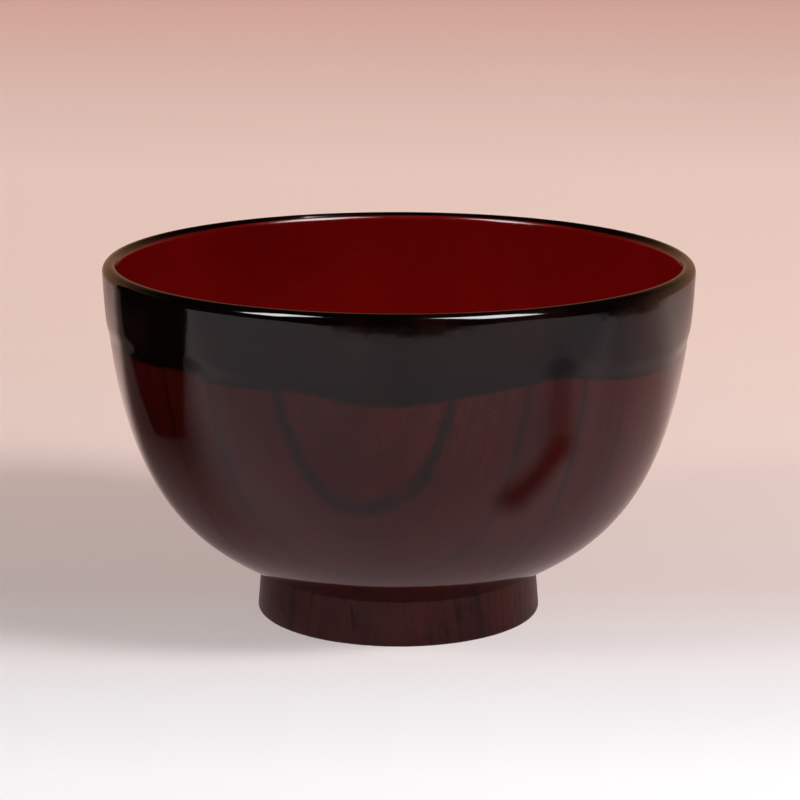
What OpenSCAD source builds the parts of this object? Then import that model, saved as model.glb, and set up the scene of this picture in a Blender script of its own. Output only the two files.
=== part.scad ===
// Lacquered wooden rice bowl: a core turned from one block, with its foot ring, under lacquer coats.
// A strip of cloth under the black lacquer thickens and strengthens the rim.
// The origin is on the bowl's axis, on the surface that the foot stands on. Sizes are millimetres.

/* [Bowl] */
// Widest diameter, measured over the rim band
bowl_d = 120; // [110:1:132]
// Height from the resting surface to the top of the lip
bowl_h = 73.3; // [66:0.1:80]
// Thickness of the wall just under the lip
rim_wall = 2.9; // [2.4:0.1:3.6]
// Height of the food surface at the middle of the bowl
floor_z = 9.4; // [8.6:0.1:12]

/* [Outer curve] */
// Angle of the underside above level, where it leaves the foot
under_angle = 30; // [24:1:36]
// Reach of the curve's handle at the foot, a longer one flattens the underside
under_pull = 13.5; // [10:0.5:20]
// Angle of the wall above level, just under the lip
wall_angle = 88; // [84:1:90]
// Reach of the curve's handle at the lip, a longer one makes the belly fuller
wall_pull = 49; // [42:0.5:52]

/* [Inner curve] */
// Reach of the flat part of the food surface from the axis
floor_pull = 33; // [28:0.5:34]
// How far the inner knee's handle stands inside the wall, as a radius lost
knee_in = 1.2; // [0.8:0.1:2]
// Height of the inner knee's handle
knee_z = 22; // [20:0.5:26]

/* [Foot] */
// Diameter of the foot ring where it stands
foot_d = 58.4; // [54:0.2:62]
// Diameter of the foot ring where the bowl springs from it
foot_top_d = 57; // [52:0.2:60]
// Height of the foot ring on its outside
foot_h = 9.1; // [8:0.1:11]
// Width of the ring's flat resting edge
rest_w = 3; // [2:0.1:4]
// Radius of the rounding on each side of the resting edge
rest_round = 0.6; // [0.3:0.1:0.8]
// Depth of the recess inside the foot ring
recess_h = 5; // [4.4:0.1:5.4]
// Radius of the round corner between the recess's wall and its ceiling
recess_round = 1.6; // [1:0.1:2.4]

/* [Rim band] */
// Height of the black band's lower edge
band_z = 58.5; // [50:0.5:64]
// Height over which the band swells to its full thickness
band_rise = 3.6; // [2:0.2:6]
// How far the full band stands proud of the body
band_lift = 0.32; // [0.2:0.02:0.5]
// Angle from the top of the lip, on its inner side, down to which the black lacquer wraps
lip_wrap = 55; // [40:5:70]

/* [Coats] */
// Thickness of every lacquer coat on bare wood
coat_t = 0.15; // [0.1:0.01:0.15]
// Thickness of the black lacquer over the cloth
black_t = 0.17; // [0.16:0.01:0.2]

/* [Hidden] */
$fn = 144;

body_steps = 22;                                 // segments from the foot's corner to the band
band_steps = 10;                                 // segments up the band
lip_steps = 36;                                  // segments round the lip
inside_steps = 40;                               // segments down the inside
corner_steps = 4;                                // segments round each small corner
lip_round = rim_wall/2;                          // the lip is a half circle over the wall
wall_r = bowl_d/2 - band_lift;                   // body radius under the band
lip_r = wall_r - lip_round;                      // radius of the lip's middle line
lip_z = bowl_h - lip_round - band_lift;          // height where the lip's half circle starts
inner_r = wall_r - rim_wall;                     // radius of the mouth
rest_r = foot_d/2 - rest_round;                  // outer edge of the flat resting edge
recess_r = rest_r - rest_w - rest_round;         // recess radius at its mouth
recess_draft = 0.8;                              // radius that the recess loses towards its ceiling
recess_top_r = recess_r - recess_draft;

function away(angle, reach) = reach*[cos(angle), sin(angle)];
function bezier(p, t) =
    pow(1 - t, 3)*p[0] + 3*pow(1 - t, 2)*t*p[1] + 3*(1 - t)*t*t*p[2] + pow(t, 3)*p[3];
function curve(p, from, to, n) = [for (i = [0:n]) bezier(p, from + (to - from)*i/n)];
function arc(centre, radius, from, to, n) =
    [for (i = [0:n]) centre + away(from + (to - from)*i/n, radius)];
function eased(x) = let (k = max(0, min(1, x))) k*k*(3 - 2*k);
function span(points, first, last) = [for (i = [first:last]) points[i]];
function backwards(points) = [for (i = [len(points) - 1:-1:0]) points[i]];

// Where a rising curve reaches a height, found by halving.
function place_at(p, z, low = 0, high = 1, halvings = 30) =
    let (middle = (low + high)/2)
    halvings == 0 ? middle :
    bezier(p, middle)[1] < z ? place_at(p, z, middle, high, halvings - 1) :
    place_at(p, z, low, middle, halvings - 1);

// The outline runs over the finished surface as it would be without the band's extra thickness:
// recess ceiling, foot ring, body, band, lip, then down the inside to the middle of the food surface.
foot_corner = [foot_top_d/2, foot_h];
wall_top = [wall_r, lip_z];
outer_curve = [foot_corner, foot_corner + away(under_angle, under_pull),
               wall_top - away(wall_angle, wall_pull), wall_top];
inner_curve = [[inner_r, lip_z], [inner_r - knee_in, knee_z], [floor_pull, floor_z], [0, floor_z]];
band_place = place_at(outer_curve, band_z);

recess_line = concat(
    [[0, recess_h]],
    arc([recess_top_r - recess_round, recess_h - recess_round], recess_round, 90, 0, corner_steps));
foot_line = concat(
    arc([recess_r + rest_round, rest_round], rest_round, 180, 270, corner_steps),
    arc([rest_r, rest_round], rest_round, 270, 360, corner_steps));
body_line = curve(outer_curve, 0, band_place, body_steps);
band_line = curve(outer_curve, band_place, 1, band_steps);
lip_line = arc([lip_r, lip_z], lip_round, 0, 180, lip_steps);
inside_line = curve(inner_curve, 0, 1, inside_steps);
outline = concat(recess_line, foot_line, body_line, span(band_line, 1, band_steps),
                 span(lip_line, 1, lip_steps), span(inside_line, 1, inside_steps));

// Where each stretch of the outline starts, as places in the list.
last = len(outline) - 1;
foot_start = len(recess_line) - 1;
body_start = len(recess_line) + len(foot_line);
band_start = body_start + body_steps;
lip_start = band_start + band_steps;
lip_top = lip_start + lip_steps/2;
lining_start = lip_top + round(lip_wrap*lip_steps/180);

// Mitred outward direction at one place, long enough to move both neighbouring lines out by 1.
function normal(a, b) = [b[1] - a[1], a[0] - b[0]]/norm(b - a);
function mitre(i) =
    i == 0 ? [0, -1] :
    i == last ? [0, 1] :
    let (m = normal(outline[i - 1], outline[i]), n = normal(outline[i], outline[i + 1]))
    (m + n)/(1 + m*n);

// The band's extra thickness: it swells above its lower edge and dies away inside the lip.
// The cloth fills what the coats leave of it, and has its first and last thick place in a list.
function lift(i) =
    i <= band_start || i >= lining_start ? 0 :
    i <= lip_top ? band_lift*eased((outline[i][1] - band_z)/band_rise) :
    band_lift*eased((lining_start - i)/(lining_start - lip_top));
function cloth(i) = max(0, lift(i) + coat_t - black_t);
cloth_places = [for (i = [0:last]) if (cloth(i) > 0) i];
cloth_start = cloth_places[0] - 1;
cloth_end = cloth_places[len(cloth_places) - 1] + 1;

wood_line = [for (i = [0:last]) outline[i] - coat_t*mitre(i)];
cloth_line = [for (i = [0:last]) outline[i] + (cloth(i) - coat_t)*mitre(i)];
black_line = [for (i = [0:last]) outline[i] + lift(i)*mitre(i)];

// A coat turned from the strip between two lines, from one place on the outline to another.
module coat(inner, outer, first, last) {
    rotate_extrude()
        polygon(concat(span(outer, first, last), backwards(span(inner, first, last))));
}

// Core: one turned block, with the foot ring in one piece with the bowl.
module wood_core() {
    color([0.62, 0.42, 0.24])
    rotate_extrude() polygon(wood_line);
}

// Cloth strip round the rim, stiffened with lacquer, between the wood and the black lacquer.
module rim_cloth() {
    color([0.78, 0.72, 0.58])
    coat(wood_line, cloth_line, cloth_start, cloth_end);
}

// Black lacquer over the cloth, from the band's lower edge over the lip.
module rim_lacquer() {
    color([0.06, 0.05, 0.05])
    coat(cloth_line, black_line, band_start, lining_start);
}

// Clear red-brown lacquer on the body, from the foot's corner up to the black band.
module body_lacquer() {
    color([0.22, 0.07, 0.06])
    coat(wood_line, outline, body_start, band_start);
}

// Brown lacquer round the foot ring, over its outside, its resting edge and the recess's wall.
module foot_lacquer() {
    color([0.26, 0.12, 0.09])
    coat(wood_line, outline, foot_start, body_start);
}

// Black lacquer on the ceiling of the foot's recess.
module base_lacquer() {
    color([0.05, 0.04, 0.04])
    coat(wood_line, outline, 0, foot_start);
}

// Red lacquer on the whole inside, up to the black lip.
module lining_lacquer() {
    color([0.55, 0.04, 0.02])
    coat(wood_line, outline, lining_start, last);
}

wood_core();
rim_cloth();
rim_lacquer();
body_lacquer();
foot_lacquer();
base_lacquer();
lining_lacquer();
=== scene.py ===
import math
import bpy
import numpy as np
from mathutils import Euler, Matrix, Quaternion, Vector


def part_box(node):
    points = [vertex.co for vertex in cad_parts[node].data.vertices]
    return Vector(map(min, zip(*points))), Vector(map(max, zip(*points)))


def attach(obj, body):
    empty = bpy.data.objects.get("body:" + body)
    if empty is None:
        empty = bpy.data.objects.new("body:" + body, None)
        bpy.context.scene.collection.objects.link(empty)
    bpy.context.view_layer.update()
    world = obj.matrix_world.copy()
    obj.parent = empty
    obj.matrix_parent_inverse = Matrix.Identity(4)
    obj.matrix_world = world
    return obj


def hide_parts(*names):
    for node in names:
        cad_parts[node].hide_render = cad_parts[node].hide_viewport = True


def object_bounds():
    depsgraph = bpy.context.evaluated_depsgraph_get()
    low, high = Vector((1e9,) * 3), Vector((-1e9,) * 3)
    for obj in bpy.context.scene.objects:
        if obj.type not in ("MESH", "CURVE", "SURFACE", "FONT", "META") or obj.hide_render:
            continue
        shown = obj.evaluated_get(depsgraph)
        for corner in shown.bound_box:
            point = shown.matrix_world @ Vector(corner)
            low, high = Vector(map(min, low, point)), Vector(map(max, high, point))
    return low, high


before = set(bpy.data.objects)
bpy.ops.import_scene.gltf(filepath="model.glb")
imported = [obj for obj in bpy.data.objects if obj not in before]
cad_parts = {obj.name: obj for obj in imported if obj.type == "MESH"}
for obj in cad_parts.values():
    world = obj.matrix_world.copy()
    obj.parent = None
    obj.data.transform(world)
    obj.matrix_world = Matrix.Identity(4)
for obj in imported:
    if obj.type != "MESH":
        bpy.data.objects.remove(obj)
cad_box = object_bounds()

MM = 0.001

# ---------------------------------------------------------------- sizes, in millimetres
# The frame gives the overall sizes; the curve's handles are the ones the CAD part is turned with.
bowl_r = cad_box[1].x / MM
bowl_h = cad_box[1].z / MM
foot_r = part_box("foot_lacquer")[1].x / MM
foot_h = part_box("body_lacquer")[0].z / MM
band_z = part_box("rim_lacquer")[0].z / MM

FOOT_TOP_R = 28.5
UNDER_ANGLE, UNDER_PULL = 30, 13.5
WALL_ANGLE, WALL_PULL = 88, 49
RIM_WALL = 2.9
BAND_LIFT, BAND_RISE = 0.32, 3.6
LIP_WRAP = 55                       # degrees past the lip's top where the black ends
FLOOR_Z, FLOOR_PULL = 9.4, 33
KNEE_IN, KNEE_Z = 1.2, 22
REST_W, REST_ROUND = 3, 0.6
RECESS_H, RECESS_DRAFT, RECESS_ROUND = 5, 0.8, 1.6
COAT_T, BLACK_T = 0.15, 0.17
CLOTH_IN, CLOTH_TUCK = 1.0, 12      # how far inside the band's two edges the cloth ends: mm, degrees

lip_round = RIM_WALL / 2
wall_r = bowl_r - BAND_LIFT
lip_r = wall_r - lip_round
lip_z = bowl_h - lip_round - BAND_LIFT
inner_r = wall_r - RIM_WALL
rest_r = foot_r - REST_ROUND
recess_r = rest_r - REST_W - REST_ROUND
recess_top_r = recess_r - RECESS_DRAFT

SEGMENTS = 288
INNER_STEP = 4                      # the body coat's hidden side keeps one point in four
turn = np.arange(SEGMENTS) * 2 * math.pi / SEGMENTS


# ---------------------------------------------------------------- curves
def away(angle, reach):
    return reach * np.array([math.cos(math.radians(angle)), math.sin(math.radians(angle))])


def bezier(points, t):
    a, b, c, d = (np.asarray(p, float) for p in points)
    t = np.asarray(t, float)[..., None]
    return (1 - t) ** 3 * a + 3 * (1 - t) ** 2 * t * b + 3 * (1 - t) * t**2 * c + t**3 * d


def arc(centre, radius, first, last, count):
    angles = np.radians(np.linspace(first, last, count + 1))
    return np.asarray(centre) + radius * np.stack([np.cos(angles), np.sin(angles)], -1)


def eased(x):
    k = np.clip(x, 0, 1)
    return k * k * (3 - 2 * k)


def normals(line):
    """Outward directions along a (count, 2) or (count, segments, 2) line with the solid on its left."""
    along = np.gradient(line, axis=0)
    out = np.stack([along[..., 1], -along[..., 0]], -1)
    return out / np.linalg.norm(out, axis=-1, keepdims=True)


corner = np.array([FOOT_TOP_R, foot_h])
wall_top = np.array([wall_r, lip_z])
OUTER = [corner, corner + away(UNDER_ANGLE, UNDER_PULL), wall_top - away(WALL_ANGLE, WALL_PULL), wall_top]
INNER = [(inner_r, lip_z), (inner_r - KNEE_IN, KNEE_Z), (FLOOR_PULL, FLOOR_Z), (0, FLOOR_Z)]
steps = np.linspace(0, 1, 2001)      # places along the wall's curve, fine enough to look heights up in
outer_heights = bezier(OUTER, steps)[:, 1]


def waves(seed, lowest, highest, size):
    """A smooth random wave round the bowl, with about the given size in millimetres."""
    rng = np.random.default_rng(seed)
    total = np.zeros(SEGMENTS)
    for k in range(lowest, highest + 1):
        total += rng.normal() * np.cos(k * turn + rng.uniform(0, 2 * math.pi)) / k**0.5
    return size * total / np.abs(total).max()


# ---------------------------------------------------------------- meshes
def turned(name, line, closed=False):
    """A solid turned about Z from a (count, segments, 2) line of radii and heights in millimetres."""
    count = len(line)
    radius, height = line[..., 0], line[..., 1]
    points = np.stack([radius * np.sin(turn), -radius * np.cos(turn), height], -1) * MM
    poles = [] if closed else [k for k in (0, count - 1) if np.allclose(radius[k], 0)]
    verts, first = [], {}
    for k in range(count):
        first[k] = len(verts)
        verts.extend([points[k, 0].tolist()] if k in poles else points[k].tolist())
    faces = []
    for k in range(count if closed else count - 1):
        a, b = k, (k + 1) % count
        for s in range(SEGMENTS):
            e = (s + 1) % SEGMENTS
            low = [first[a]] if a in poles else [first[a] + s, first[a] + e]
            high = [first[b]] if b in poles else [first[b] + e, first[b] + s]
            faces.append(low + high)
    mesh = bpy.data.meshes.new(name)
    mesh.from_pydata(verts, [], faces)
    mesh.validate()
    mesh.shade_smooth()
    mesh.set_sharp_from_angle(angle=math.radians(50))
    piece = bpy.data.objects.new(name, mesh)
    bpy.context.scene.collection.objects.link(piece)
    return piece


def all_round(line):
    return np.repeat(np.asarray(line, float)[:, None, :], SEGMENTS, axis=1)


def coat(name, outer, inner):
    """A closed coat between an outer line and the inner line that faces the wood."""
    return turned(name, np.concatenate([outer, inner[::-1]]), closed=True)


# The black band's lower edge wanders, as a brushed edge does: (degrees round, mm up, degrees wide).
BRUSH_MARKS = [(-3, -1.9, 13), (30, 1.7, 10), (62, -1.8, 22), (-35, -0.6, 7), (-44, 0.8, 8), (-62, 0.8, 9)]
edge_z = band_z + waves(5, 4, 14, 0.5)
for centre, rise, width in BRUSH_MARKS:
    off = (np.degrees(turn) - centre + 180) % 360 - 180
    edge_z = edge_z + rise * np.exp(-(off / width) ** 2)

# The black laps over the lip a little further in some places than in others.
from_back = (np.degrees(turn) % 360 - 180) / 50
lip_end = 90 + LIP_WRAP + waves(11, 2, 12, 7) - 16 * np.exp(-from_back**2)


def body_line(count):
    """Up the outside from the foot to the band's edge, all round the bowl."""
    edge_place = np.interp(edge_z, outer_heights, steps)
    return bezier(OUTER, np.linspace(0, 1, count + 1)[:, None] * edge_place)


def lip_line(first, last, count):
    """The lip's round from one angle to another, both given all round the bowl."""
    angle = np.radians(first + np.linspace(0, 1, count + 1)[:, None] * (last - first))
    return np.stack([lip_r + lip_round * np.cos(angle), lip_z + lip_round * np.sin(angle)], -1)


def rim_line(first_z, last_angle, wall_count, lip_count):
    """Up the wall from a height to the lip and over it to an angle, both given all round the bowl.
    Gives the line, and how far the band stands proud along it: a soft step up the wall, and back to
    nothing inside the lip."""
    first_place = np.interp(first_z, outer_heights, steps)
    wall = bezier(OUTER, first_place + np.linspace(0, 1, wall_count + 1)[:, None] * (1 - first_place))
    lip = lip_line(np.zeros(SEGMENTS), last_angle, lip_count)[1:]
    wall_swell = BAND_LIFT * eased((wall[..., 1] - edge_z) / BAND_RISE)
    angle = np.linspace(0, 1, lip_count + 1)[1:, None] * last_angle
    lip_swell = BAND_LIFT * eased((lip_end - angle) / (lip_end - 90))
    return np.concatenate([wall, lip]), np.concatenate([wall_swell, lip_swell])[..., None]


def make_body():
    """The clear coat. Each point also knows how far below the band's edge it is, for the stain there."""
    outer = body_line(72)
    thin = slice(None, None, INNER_STEP)
    piece = coat("body_coat", outer, outer[thin] - COAT_T * normals(outer)[thin])
    below = piece.data.attributes.new("below_band", "FLOAT", "POINT")
    depth = edge_z - outer[..., 1]
    below.data.foreach_set("value", np.concatenate([depth, depth[thin][::-1]]).ravel())
    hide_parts("body_lacquer")
    return piece


def make_band():
    line, swell = rim_line(edge_z, lip_end, 40, 40)
    out = normals(line)
    cloth = np.maximum(0, swell + COAT_T - BLACK_T)
    piece = coat("rim_band", line + swell * out, line + (cloth - COAT_T) * out)
    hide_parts("rim_lacquer")
    return piece


def make_cloth():
    line, swell = rim_line(edge_z + CLOTH_IN, lip_end - CLOTH_TUCK, 24, 30)
    out = normals(line)
    piece = coat("cloth_strip", line + (swell - BLACK_T) * out, line - COAT_T * out)
    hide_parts("rim_cloth")
    return piece


def make_lining():
    lip = lip_line(lip_end, np.full(SEGMENTS, 180.0), 14)
    outer = np.concatenate([lip, all_round(bezier(INNER, np.linspace(0, 1, 91))[1:])])
    inner = outer - COAT_T * normals(outer)
    inner[-1, :, 0] = 0
    piece = turned("lining", np.concatenate([inner[::-1], outer]))
    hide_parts("lining_lacquer")
    return piece


def foot_profile():
    """From the recess's wall under the resting edge and up the outside to the body."""
    return np.concatenate([
        [(recess_top_r, RECESS_H - RECESS_ROUND)],
        arc((recess_r + REST_ROUND, REST_ROUND), REST_ROUND, 180, 270, 8),
        arc((rest_r, REST_ROUND), REST_ROUND, 270, 360, 8),
        np.linspace((foot_r, REST_ROUND), corner, 13)[1:],
    ])


def make_foot():
    outer = foot_profile()
    inner = outer - COAT_T * normals(outer)
    piece = coat("foot_coat", all_round(outer), all_round(inner))
    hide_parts("foot_lacquer")
    return piece


def make_base():
    round_in = arc((recess_top_r - RECESS_ROUND, RECESS_H - RECESS_ROUND), RECESS_ROUND, 90, 0, 10)
    outer = np.concatenate([[(0, RECESS_H)], round_in])
    inner = outer - COAT_T * normals(outer)
    inner[0] = (0, RECESS_H + COAT_T)
    piece = turned("base_coat", all_round(np.concatenate([outer, inner[::-1]])))
    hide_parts("base_lacquer")
    return piece


# ---------------------------------------------------------------- materials
def new_material(name):
    material = bpy.data.materials.new(name)
    material.use_nodes = True
    tree = material.node_tree
    shader = tree.nodes["Principled BSDF"]
    return material, tree, shader


def put(tree, kind, inputs=(), **settings):
    """Adds a node; inputs is a dict from an input's name or place to a value or another node's output."""
    node = tree.nodes.new(kind)
    for key, value in settings.items():
        setattr(node, key, value)
    for key, value in dict(inputs).items():
        if isinstance(value, bpy.types.NodeSocket):
            tree.links.new(value, node.inputs[key])
        else:
            node.inputs[key].default_value = value
    return node


def ramp(tree, fac, stops):
    """Colours between the stops, each a place from 0 to 1 and a colour."""
    node = put(tree, "ShaderNodeValToRGB", {"Fac": fac})
    elements = node.color_ramp.elements
    while len(elements) < len(stops):
        elements.new(0.5)
    for element, (place, colour) in zip(elements, stops):
        element.position = place
        element.color = (*colour, 1)
    return node.outputs["Color"]


def grey(level):
    return (level,) * 3


def remap(tree, value, first, last, low=0.0, high=1.0, kind="SMOOTHSTEP"):
    """Low where value is at first and high where it is at last, and held beyond them."""
    return put(tree, "ShaderNodeMapRange",
               {"Value": value, "From Min": first, "From Max": last, "To Min": low, "To Max": high},
               interpolation_type=kind).outputs[0]


def millimetres(tree, stretch=(1, 1, 1)):
    """The row frame's coordinates in millimetres, stretched along each axis."""
    place = put(tree, "ShaderNodeTexCoord").outputs["Object"]
    scale = [s / MM for s in stretch]
    return put(tree, "ShaderNodeVectorMath", {0: place, 1: scale}, operation="MULTIPLY").outputs[0]


def noise(tree, vector, scale, detail=3, roughness=0.5):
    return put(tree, "ShaderNodeTexNoise", {"Vector": vector, "Scale": scale, "Detail": detail,
                                            "Roughness": roughness}).outputs["Fac"]


def mix(tree, fac, a, b, blend="MIX"):
    node = put(tree, "ShaderNodeMix", data_type="RGBA", blend_type=blend)
    for key, value in (("Factor", fac), ("A", a), ("B", b)):
        socket = [s for s in node.inputs if s.name == key and s.enabled][0]
        if isinstance(value, bpy.types.NodeSocket):
            tree.links.new(value, socket)
        else:
            socket.default_value = value if key == "Factor" else (*value, 1)
    return [s for s in node.outputs if s.enabled][0]


def math_node(tree, operation, a, b=0.0, c=0.0, clamp=False):
    return put(tree, "ShaderNodeMath", {0: a, 1: b, 2: c}, operation=operation, use_clamp=clamp).outputs[0]


def bump(tree, height, strength, distance):
    return put(tree, "ShaderNodeBump",
               {"Height": height, "Strength": strength, "Distance": distance}).outputs["Normal"]


BLACK = (0.0028, 0.0008, 0.0008)
LACQUER_IOR = 1.5
PITH = (-12, -104)       # where the tree's upright middle ran, in front of the bowl
FIRST_RING = 50.6        # radius of the ring that draws the innermost arch
RING_GAP = 11.3          # from one strong ring to the next
RING_SWAY = 2.0          # how far the rings wander


def wood_figure(tree):
    """Rings round an upright middle, and upright pores.
    Gives the ring's number, the place within a ring, the finer rings and the pores."""
    level = put(tree, "ShaderNodeVectorMath", {0: millimetres(tree), 1: (1, 1, 0)}, operation="MULTIPLY")
    sway = put(tree, "ShaderNodeTexNoise", {"Vector": millimetres(tree, (1, 1, 0.35)), "Scale": 0.07,
                                            "Detail": 4.0, "Roughness": 0.6})
    centred = put(tree, "ShaderNodeVectorMath", {0: sway.outputs["Color"], 1: grey(0.5)},
                  operation="SUBTRACT")
    swayed = put(tree, "ShaderNodeVectorMath", {0: centred.outputs[0], "Scale": RING_SWAY},
                 operation="SCALE")
    moved = put(tree, "ShaderNodeVectorMath", {0: level.outputs[0], 1: swayed.outputs[0]}, operation="ADD")
    from_pith = put(tree, "ShaderNodeVectorMath", {0: moved.outputs[0], 1: (*PITH, 0)},
                    operation="SUBTRACT")
    flat = put(tree, "ShaderNodeVectorMath", {0: from_pith.outputs[0], 1: (1, 1, 0)}, operation="MULTIPLY")
    radius = put(tree, "ShaderNodeVectorMath", {0: flat.outputs[0]}, operation="LENGTH").outputs["Value"]
    rings = math_node(tree, "DIVIDE", math_node(tree, "SUBTRACT", radius, FIRST_RING), RING_GAP)
    number = math_node(tree, "FLOOR", rings)
    place = math_node(tree, "FRACT", rings)
    fine = put(tree, "ShaderNodeTexNoise", {"W": radius, "Scale": 0.9, "Detail": 4.0},
               noise_dimensions="1D").outputs["Fac"]
    pores = noise(tree, millimetres(tree, (1, 1, 0.12)), 2.2, 3, 0.6)
    return number, place, fine, pores


def ring_lines(tree, number, place, pores):
    """How dark the porous line is where each ring starts: crisp outside, ragged inside, and stronger in
    some rings and places than in others."""
    ragged = math_node(tree, "MULTIPLY_ADD", pores, 0.10, -0.05)
    moved = math_node(tree, "ADD", place, ragged)
    line = ramp(tree, moved, [(0.0, grey(0.9)), (0.06, grey(1)), (0.09, grey(0.7)), (0.115, grey(0.12)),
                              (0.24, grey(0)), (0.975, grey(0)), (0.99, grey(0.7)), (1.0, grey(0.9))])
    first = math_node(tree, "LESS_THAN", math_node(tree, "ABSOLUTE", number), 0.5)
    chance = put(tree, "ShaderNodeTexWhiteNoise", {"W": number}, noise_dimensions="1D").outputs["Value"]
    common = remap(tree, chance, 0.0, 1.0, 0.35, 0.6, "LINEAR")
    strength = math_node(tree, "MAXIMUM", common, first)
    patchy = ramp(tree, noise(tree, millimetres(tree, (1, 1, 0.5)), 0.13, 3, 0.6),
                  [(0.3, grey(0.5)), (0.6, grey(1))])
    return math_node(tree, "MULTIPLY", math_node(tree, "MULTIPLY", line, strength), patchy)


def wood_under_lacquer(tree, deep, bright, glow):
    """The wood's colour as it shows through clear lacquer, from its deep red to an amber glow."""
    number, place, fine, pores = wood_figure(tree)
    mm = millimetres(tree)
    cloud = noise(tree, mm, 0.055, 3, 0.5)
    base = ramp(tree, cloud, [(0.30, deep), (0.52, bright), (0.72, glow)])
    rays = ramp(tree, fine, [(0.3, grey(0.82)), (0.5, grey(1.0)), (0.7, grey(1.12))])
    streaked = mix(tree, 1.0, base, rays, "MULTIPLY")
    mottle = ramp(tree, noise(tree, millimetres(tree, (1, 1, 0.7)), 0.8, 3, 0.6),
                  [(0.3, grey(0.88)), (0.7, grey(1.12))])
    mottled = mix(tree, 1.0, streaked, mottle, "MULTIPLY")
    specks = ramp(tree, pores, [(0.27, grey(0.5)), (0.38, grey(1.0))])
    pored = mix(tree, 1.0, mottled, specks, "MULTIPLY")
    dark = mix(tree, 1.0, pored, (0.12, 0.5, 0.7), "MULTIPLY")
    lines = ring_lines(tree, number, place, pores)
    return mix(tree, lines, pored, dark), lines, pores


def body_material():
    """Clear red-brown lacquer: black frays into it under the band, and painted shade darkens the corner
    just above the foot.
    """
    material, tree, shader = new_material("body_lacquer_clear")
    wood, lines, _ = wood_under_lacquer(tree, deep=(0.0255, 0.0013, 0.0009),
                                        bright=(0.036, 0.0022, 0.0013), glow=(0.042, 0.0038, 0.0018))
    mm = millimetres(tree)
    below = put(tree, "ShaderNodeAttribute", attribute_name="below_band").outputs["Fac"]
    frayed = math_node(tree, "MULTIPLY_ADD", noise(tree, mm, 0.7, 3), 1.4, -0.7)
    stain = remap(tree, math_node(tree, "ADD", below, frayed), 0.0, 1.0)
    stained = mix(tree, stain, BLACK, wood)
    height = put(tree, "ShaderNodeSeparateXYZ", {"Vector": mm}).outputs["Z"]
    # painted shade: within six millimetres above the foot the colour is mixed toward near black, where the
    # corner would be shaded
    corner_shade = remap(tree, height, foot_h + 1, foot_h + 7, 0.25)
    colour = mix(tree, corner_shade, (0.006, 0.0008, 0.0006), stained)
    tree.links.new(colour, shader.inputs["Base Color"])
    rough = remap(tree, lines, 0.0, 1.0, 0.09, 0.16, "LINEAR")
    tree.links.new(rough, shader.inputs["Roughness"])
    shader.inputs["IOR"].default_value = LACQUER_IOR
    soft = bump(tree, noise(tree, mm, 0.12, 2, 0.5), 0.10, 0.0004)
    fine = put(tree, "ShaderNodeBump", {"Height": noise(tree, mm, 0.9, 2), "Strength": 0.05,
                                        "Distance": 0.0002, "Normal": soft}).outputs["Normal"]
    tree.links.new(fine, shader.inputs["Normal"])
    return material


def black_material():
    material, tree, shader = new_material("black_lacquer_gloss")
    mm = millimetres(tree)
    cloud = noise(tree, mm, 0.08, 3)
    colour = ramp(tree, cloud, [(0.35, tuple(0.7 * c for c in BLACK)), (0.5, BLACK),
                                (0.7, (0.009, 0.0024, 0.002))])
    tree.links.new(colour, shader.inputs["Base Color"])
    rough = ramp(tree, noise(tree, mm, 0.3, 3), [(0.3, grey(0.06)), (0.7, grey(0.10))])
    tree.links.new(rough, shader.inputs["Roughness"])
    shader.inputs["IOR"].default_value = LACQUER_IOR
    tree.links.new(bump(tree, noise(tree, mm, 0.12, 3, 0.5), 0.14, 0.0004), shader.inputs["Normal"])
    return material


def red_material():
    material, tree, shader = new_material("red_lacquer_satin")
    mm = millimetres(tree)
    cloud = noise(tree, mm, 0.05, 4, 0.6)
    colour = ramp(tree, cloud, [(0.3, (0.127, 0.0009, 0.0006)), (0.7, (0.147, 0.0013, 0.0008))])
    fleck = ramp(tree, noise(tree, mm, 1.1, 3, 0.6), [(0.3, grey(0.9)), (0.7, grey(1.1))])
    tree.links.new(mix(tree, 1.0, colour, fleck, "MULTIPLY"), shader.inputs["Base Color"])
    rough = ramp(tree, noise(tree, mm, 0.25, 3), [(0.3, grey(0.13)), (0.7, grey(0.2))])
    tree.links.new(rough, shader.inputs["Roughness"])
    shader.inputs["IOR"].default_value = LACQUER_IOR
    tree.links.new(bump(tree, noise(tree, mm, 0.1, 2, 0.5), 0.1, 0.0004), shader.inputs["Normal"])
    return material


def foot_material():
    """Thin brown lacquer over upright pores and fine cracks, duller than the body's."""
    material, tree, shader = new_material("foot_lacquer_brown")
    wood, _, pores = wood_under_lacquer(tree, deep=(0.024, 0.0056, 0.0050),
                                        bright=(0.029, 0.0066, 0.0058), glow=(0.044, 0.0080, 0.0058))
    cracks = ramp(tree, noise(tree, millimetres(tree, (1, 1, 0.1)), 0.9, 4, 0.7),
                  [(0.30, grey(0.25)), (0.40, grey(1))])
    tree.links.new(mix(tree, 1.0, wood, cracks, "MULTIPLY"), shader.inputs["Base Color"])
    rough = ramp(tree, pores, [(0.3, grey(0.42)), (0.7, grey(0.3))])
    tree.links.new(rough, shader.inputs["Roughness"])
    shader.inputs["IOR"].default_value = LACQUER_IOR
    shader.inputs["Specular IOR Level"].default_value = 0.2
    tree.links.new(bump(tree, pores, 0.25, 0.0002), shader.inputs["Normal"])
    return material


def wood_material():
    material, tree, shader = new_material("turned_wood")
    _, place, _, pores = wood_figure(tree)
    base = ramp(tree, place, [(0.0, (0.16, 0.08, 0.035)), (0.12, (0.36, 0.2, 0.09)),
                              (1.0, (0.3, 0.16, 0.07))])
    specks = ramp(tree, pores, [(0.32, grey(0.5)), (0.42, grey(1))])
    colour = mix(tree, 1.0, base, specks, "MULTIPLY")
    tree.links.new(colour, shader.inputs["Base Color"])
    shader.inputs["Roughness"].default_value = 0.6
    tree.links.new(bump(tree, pores, 0.3, 0.0002), shader.inputs["Normal"])
    return material


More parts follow.
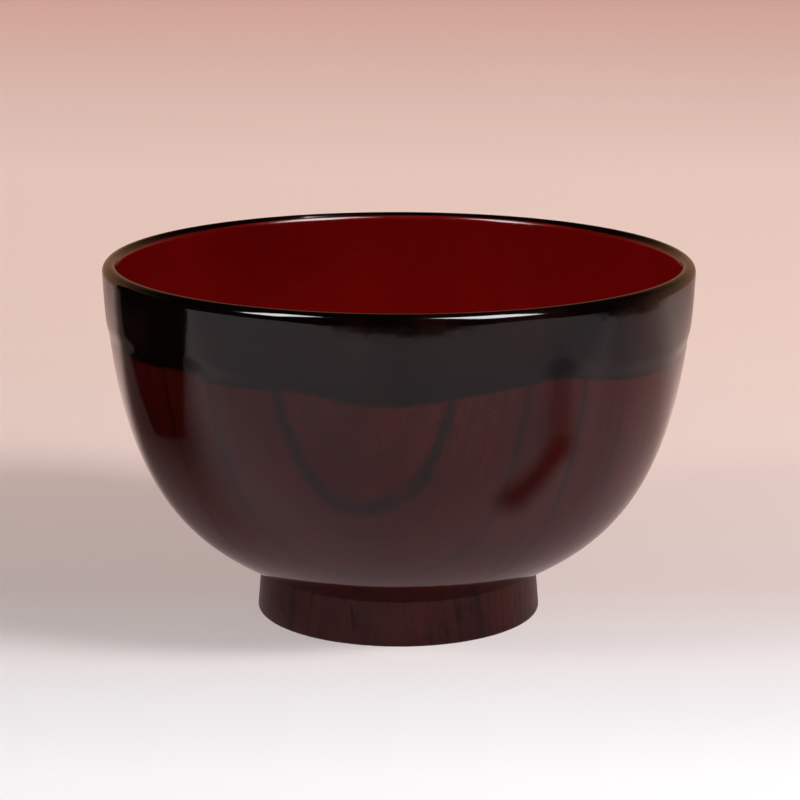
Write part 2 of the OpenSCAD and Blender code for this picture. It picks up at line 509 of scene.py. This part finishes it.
def cloth_material():
    material, tree, shader = new_material("lacquered_cloth")
    mm = millimetres(tree)
    threads = put(tree, "ShaderNodeTexWave", {"Vector": mm, "Scale": 1.2, "Distortion": 0.4},
                  bands_direction="Z").outputs["Fac"]
    colour = ramp(tree, threads, [(0.0, (0.18, 0.14, 0.09)), (1.0, (0.4, 0.33, 0.22))])
    tree.links.new(colour, shader.inputs["Base Color"])
    shader.inputs["Roughness"].default_value = 0.75
    tree.links.new(bump(tree, threads, 0.4, 0.0002), shader.inputs["Normal"])
    return material


def finish(piece, material):
    piece.data.materials.clear()
    piece.data.materials.append(material)
    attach(piece, "root")


def dress_cad(node, material):
    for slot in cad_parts[node].material_slots:
        slot.material = material


# ---------------------------------------------------------------- stage, in metres
PAPER_Y = (-0.1, 1.5)                # where the paper's colours start and end, front to back
GLOW_X = (-0.4, 0.4)                 # where the mirrored table's brightness across starts and ends
GLOW_Y = (-0.3, 1.0)
FLAG_PLAN = [(-0.118, -0.016), (-0.30, -0.054), (-0.30, 0.20), (-0.22, 0.145), (-0.152, 0.062),
              (-0.120, 0.028)]       # its plan, left of the bowl
FLAG_H = 0.1
LEFT_FILL = (-0.73, -0.42, 0.55)
RIGHT_FILL = (0.73, -0.42, 0.55)
STRIP_GLOW = 50                      # watts per square metre of highlight strip
LENS = 120.74                        # mm, on a sensor 36 mm wide
CAMERA_PLACE = (0, -0.537, 0.169)
CAMERA_DOWN = 13.14                  # degrees below level
CAMERA_ROLL = 0.0017                 # radians


def aim(lamp, place, target):
    lamp.location = place
    lamp.rotation_euler = (Vector(target) - Vector(place)).to_track_quat("-Z", "Y").to_euler()
    bpy.context.scene.collection.objects.link(lamp)


def softbox(name, width, length, watts, place):
    """A rectangular lamp turned to the bowl."""
    light = bpy.data.lights.new(name, "AREA")
    light.shape = "RECTANGLE"
    light.size, light.size_y = width, length
    light.energy = watts
    lamp = bpy.data.objects.new(name, light)
    aim(lamp, place, (0, 0, 0.03))
    return lamp


def fill_light(name, strength, place, only=None):
    """Light with no shadow and no highlight of its own, for everything or only for one collection."""
    light = bpy.data.lights.new(name, "SUN")
    light.energy = strength
    light.use_shadow = False
    lamp = bpy.data.objects.new(name, light)
    lamp.visible_glossy = False
    lamp.light_linking.receiver_collection = only
    aim(lamp, place, (0, 0, 0))


def sheet(name, corners, height=0.0):
    mesh = bpy.data.meshes.new(name)
    mesh.from_pydata([(x, y, height) for x, y in corners], [], [list(range(len(corners)))])
    piece = bpy.data.objects.new(name, mesh)
    bpy.context.scene.collection.objects.link(piece)
    return piece


def mirror_only(piece):
    """For stage cards that stand outside the picture and show only in the lacquer's gloss."""
    piece.visible_camera = False
    piece.visible_diffuse = False
    piece.visible_shadow = False


def along(tree, axis, span, stops):
    """A colour that changes along one of the row frame's axes, between two places in metres."""
    place = put(tree, "ShaderNodeTexCoord").outputs["Object"]
    reach = put(tree, "ShaderNodeSeparateXYZ", {"Vector": place}).outputs[axis]
    return ramp(tree, remap(tree, reach, *span, kind="LINEAR"), stops)


def paper_material():
    """Paper that runs from white in front of the bowl to soft pink behind it. Its colours also hold
    painted shade, darker in a band across the bowl's own row, and painted light, lighter towards the back
    where the lamps fall off.
    """
    material, tree, shader = new_material("paper")
    # painted shade from just in front of the bowl to just behind it, and painted light further back
    colour = along(tree, "Y", PAPER_Y, [(0.0, (0.73, 0.72, 0.73)), (0.03, (0.64, 0.61, 0.62)),
                                        (0.07, (0.58, 0.48, 0.455)), (0.15, (0.67, 0.52, 0.475)),
                                        (0.24, (0.77, 0.57, 0.51)), (0.45, (0.93, 0.685, 0.605)),
                                        (0.62, (0.94, 0.655, 0.58)), (1.0, (0.93, 0.55, 0.47))])
    tree.links.new(colour, shader.inputs["Base Color"])
    shader.inputs["Roughness"].default_value = 0.9
    shader.inputs["Specular IOR Level"].default_value = 0.1
    return material


def glowing(name, colour=(1, 1, 1)):
    """A material that only gives off light, of an even colour until something is linked to it."""
    material = bpy.data.materials.new(name)
    material.use_nodes = True
    tree = material.node_tree
    tree.nodes.clear()
    glow = put(tree, "ShaderNodeEmission", {"Strength": 1.0, "Color": (*colour, 1)})
    out = put(tree, "ShaderNodeOutputMaterial")
    tree.links.new(glow.outputs[0], out.inputs["Surface"])
    return material, tree, glow


def half(tree, flat, toward, start, end):
    """A soft-edged half of the table: 0 before start and 1 past end, measured along one direction."""
    reach = put(tree, "ShaderNodeVectorMath", {0: flat, 1: (*toward, 0)}, operation="DOT_PRODUCT")
    return remap(tree, reach.outputs["Value"], start, end)


def painted_dark_streak(tree, flat, start, end, inner, outer, depths):
    """A painted dark streak in the glowing table's light, a painted dark reflection, from 1 down to 0
    light: depths says how dark it is from start to end, and inner and outer are the distances from the
    line between which it fades."""
    reach = Vector((end[0] - start[0], end[1] - start[1], 0))
    away_by = put(tree, "ShaderNodeVectorMath", {0: flat, 1: (*start, 0)}, operation="SUBTRACT").outputs[0]
    run = put(tree, "ShaderNodeVectorMath", {0: away_by, 1: reach}, operation="DOT_PRODUCT")
    part = math_node(tree, "DIVIDE", run.outputs["Value"], reach.length_squared, clamp=True)
    nearest = put(tree, "ShaderNodeVectorMath", {0: reach, "Scale": part}, operation="SCALE").outputs[0]
    gap = put(tree, "ShaderNodeVectorMath", {0: away_by, 1: nearest}, operation="DISTANCE")
    near = remap(tree, gap.outputs["Value"], inner, outer, 1.0, 0.0)
    dark = math_node(tree, "MULTIPLY", near, ramp(tree, part, depths))
    return math_node(tree, "SUBTRACT", 1.0, dark)


def left_shadow(tree, flat):
    """The shadow between the bowl and the flag: how much light is left there, from 1 down to 0."""
    front_edge = half(tree, flat, (0, 1), -0.055, -0.012)
    back_edge = half(tree, flat, (-0.95, -1), -0.015, 0.040)
    deeper = along(tree, "X", (-0.02, -0.12), [(0.0, grey(0.0)), (0.25, grey(0.55)), (0.6, grey(0.75)),
                                               (1.0, grey(1.0))])
    shape = math_node(tree, "MULTIPLY", math_node(tree, "MULTIPLY", front_edge, back_edge), deeper)
    return math_node(tree, "MULTIPLY_ADD", shape, -0.85, 1.0)


def table_glow():
    """The lit table as the lacquer mirrors it: white near the bowl, pink behind it, with painted soft
    shadows and painted dark streaks.
    """
    material, tree, glow = glowing("table_glow")
    colour = along(tree, "Y", GLOW_Y, [(0.0, (0.60, 0.48, 0.50)), (0.12, (0.52, 0.44, 0.46)),
                                       (0.16, (0.49, 0.41, 0.43)), (0.19, (0.59, 0.49, 0.51)),
                                       (0.21, (0.44, 0.34, 0.35)), (0.28, (0.53, 0.36, 0.33)),
                                       (0.34, (0.82, 0.58, 0.52)), (0.45, (0.48, 0.31, 0.26)),
                                       (1.0, (0.40, 0.24, 0.17))])
    # painted shade across the mirrored table: dimmer straight in front of the bowl and again to its right
    across = along(tree, "X", GLOW_X, [(0.0, grey(1.1)), (0.42, grey(1.08)), (0.5, grey(0.95)),
                                       (0.62, grey(1.08)), (0.75, grey(0.95)), (1.0, grey(1.0))])
    place = put(tree, "ShaderNodeTexCoord").outputs["Object"]
    flat = put(tree, "ShaderNodeVectorMath", {0: place, 1: (1, 1, 0)}, operation="MULTIPLY").outputs[0]
    # painted shade: two dark streaks right of the bowl, which the body shows as dark reflections
    dark_streak_shade = painted_dark_streak(tree, flat, (0.050, -0.0625), (0.098, -0.066), 0.001, 0.015,
                          [(0.0, grey(0.85)), (0.7, grey(0.88)), (1.0, grey(0.75))])
    faint_streak_shade = painted_dark_streak(tree, flat, (0.098, -0.066), (0.215, -0.140), 0.001, 0.026,
                           [(0.0, grey(0.65)), (0.5, grey(0.5)), (1.0, grey(0.1))])
    for shade in (across, left_shadow(tree, flat), dark_streak_shade, faint_streak_shade):
        colour = mix(tree, 1.0, colour, shade, "MULTIPLY")
    tree.links.new(colour, glow.inputs["Color"])
    return material


def make_table():
    far = 3.0
    floor = sheet("floor", [(-far, -far), (far, -far), (far, far), (-far, far)])
    floor.data.materials.append(paper_material())
    floor.visible_glossy = False
    table = sheet("table_glow", [(-0.5, -0.285), (0.31, -0.285), (0.31, 1.5), (-0.5, 1.5)], 0.0001)
    table.data.materials.append(table_glow())
    mirror_only(table)


def make_flag():
    """A dark block left of the bowl, out of the picture, that shows only in the lacquer, where it paints a
    dark reflection.
    """
    count = len(FLAG_PLAN)
    verts = [(x, y, z) for z in (0.0, FLAG_H) for x, y in FLAG_PLAN]
    sides = [(k, (k + 1) % count, count + (k + 1) % count, count + k) for k in range(count)]
    mesh = bpy.data.meshes.new("flag")
    mesh.from_pydata(verts, [], sides + [tuple(range(count, 2 * count))])
    mesh.materials.append(glowing("flag_black", (0.004, 0.002, 0.002))[0])
    piece = bpy.data.objects.new("flag", mesh)
    bpy.context.scene.collection.objects.link(piece)
    mirror_only(piece)


def make_room():
    """Dim warm walls behind and beside the bowl, and dark in front, with a pale view for the camera."""
    world = bpy.data.worlds.new("studio")
    world.use_nodes = True
    tree = world.node_tree
    way = put(tree, "ShaderNodeTexCoord").outputs["Generated"]
    parts = put(tree, "ShaderNodeSeparateXYZ", {"Vector": way})
    behind = remap(tree, parts.outputs["Y"], 0.0, 0.8)
    low = remap(tree, parts.outputs["Z"], 0.65, 0.1)
    wall = mix(tree, math_node(tree, "MULTIPLY", behind, low), (0.006, 0.004, 0.003), (0.42, 0.21, 0.12))
    camera = put(tree, "ShaderNodeLightPath").outputs["Is Camera Ray"]
    tree.links.new(mix(tree, camera, wall, (0.66, 0.47, 0.4)), tree.nodes["Background"].inputs["Color"])
    bpy.context.scene.world = world


def collected(name, pieces):
    collection = bpy.data.collections.new(name)
    for piece in pieces:
        collection.objects.link(bpy.data.objects[piece])
    return collection


def make_lights():
    inside = collected("inside_and_foot", ["lining", "foot_coat"])
    floor_only = collected("floor_only", ["floor"])
    fill_light("fill_left", 0.7, LEFT_FILL)
    fill_light("fill_right", 2.0, RIGHT_FILL)
    fill_light("fill_inside", 1.4, LEFT_FILL, inside)
    fill_light("fill_floor", 0.5, (0, -0.4, 0.9), floor_only)
    for name, side, watts in (("key_right", 1, 6.3), ("key_left", -1, 1.7)):
        key = softbox(name, 0.22, 0.22, watts, (side * 0.62, -0.34, 0.52))
        key.visible_glossy = False
        key.light_linking.receiver_collection = floor_only
    for name, x, width in (("strip_left", -0.68, 0.30), ("strip_right", 0.48, 0.44)):
        length = 0.6
        strip = softbox(name, width, length, STRIP_GLOW * width * length, (x, -0.42, 0.95))
        strip.visible_diffuse = False
    make_room()
    bpy.context.scene.view_settings.view_transform = "Standard"


def make_stage():
    make_table()
    make_flag()
    make_lights()


def make_camera():
    camera = bpy.data.cameras.new("camera")
    camera.sensor_width = 36
    camera.lens = LENS
    camera.shift_x = 0.0016
    camera.dof.use_dof = False
    holder = bpy.data.objects.new("camera", camera)
    holder.location = CAMERA_PLACE
    tilt = Euler((math.radians(90 - CAMERA_DOWN), 0, 0)).to_quaternion()
    holder.rotation_euler = (tilt @ Quaternion((0, 0, 1), CAMERA_ROLL)).to_euler()
    bpy.context.scene.collection.objects.link(holder)
    bpy.context.scene.camera = holder


make_camera()
finish(make_body(), body_material())
black = black_material()
finish(make_band(), black)
finish(make_cloth(), cloth_material())
finish(make_lining(), red_material())
finish(make_foot(), foot_material())
finish(make_base(), black)
dress_cad("wood_core", wood_material())
make_stage()
